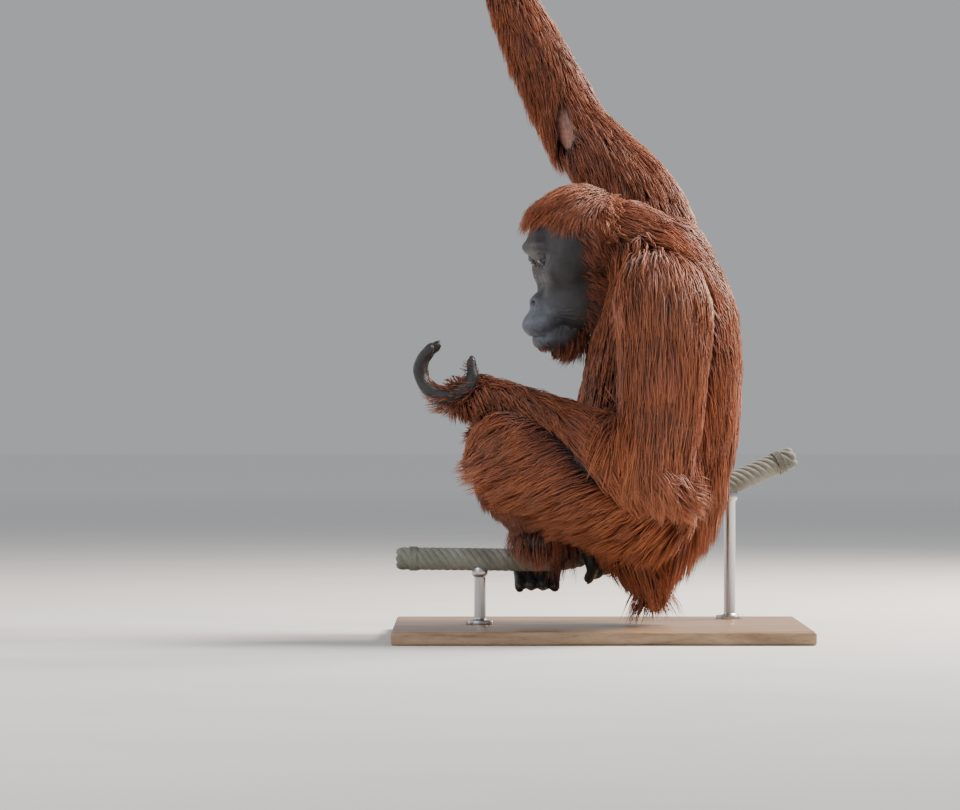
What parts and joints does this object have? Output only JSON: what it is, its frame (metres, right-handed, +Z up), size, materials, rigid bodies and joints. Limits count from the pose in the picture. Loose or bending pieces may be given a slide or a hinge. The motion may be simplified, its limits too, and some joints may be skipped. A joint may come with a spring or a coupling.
{
  "type": "orangutan model",
  "caption": "Life-size still model of an adult orangutan squatting on a rope with one arm raised to a second rope, held by a plain display stand.",
  "frame": {"origin": "middle of the underside of the stand's flat base, on the floor", "axes": "+Z up; the animal faces -X, and its left side faces -Y"},
  "size_m": [0.6332, 0.58, 1.1679],
  "materials": {
    "coat": "long coarse hair",
    "dark_skin": "bare wrinkled skin",
    "eye": "wet gloss",
    "rope": "weathered laid rope",
    "stand": "satin varnish",
    "rod": "brushed"
  },
  "bodies": {
    "root": {"stand_base": "stand", "stand_rod_front": "rod", "stand_rod_back": "rod", "perch_rope": "rope", "perch_rope_upper": "rope", "eye_left": "eye", "eye_right": "eye", "torso": "coat", "head": "coat", "ear_left": "dark_skin", "ear_right": "dark_skin", "neck": "coat", "upper_arm_left": "coat", "upper_arm_right": "coat", "thigh_left": "coat", "thigh_right": "coat", "forearm_left": "coat", "forearm_right": "coat", "shin_left": "coat", "shin_right": "coat", "hand_left": "dark_skin", "hand_right": "dark_skin", "foot_left": "dark_skin", "foot_right": "dark_skin"}
  },
  "joints": []
}
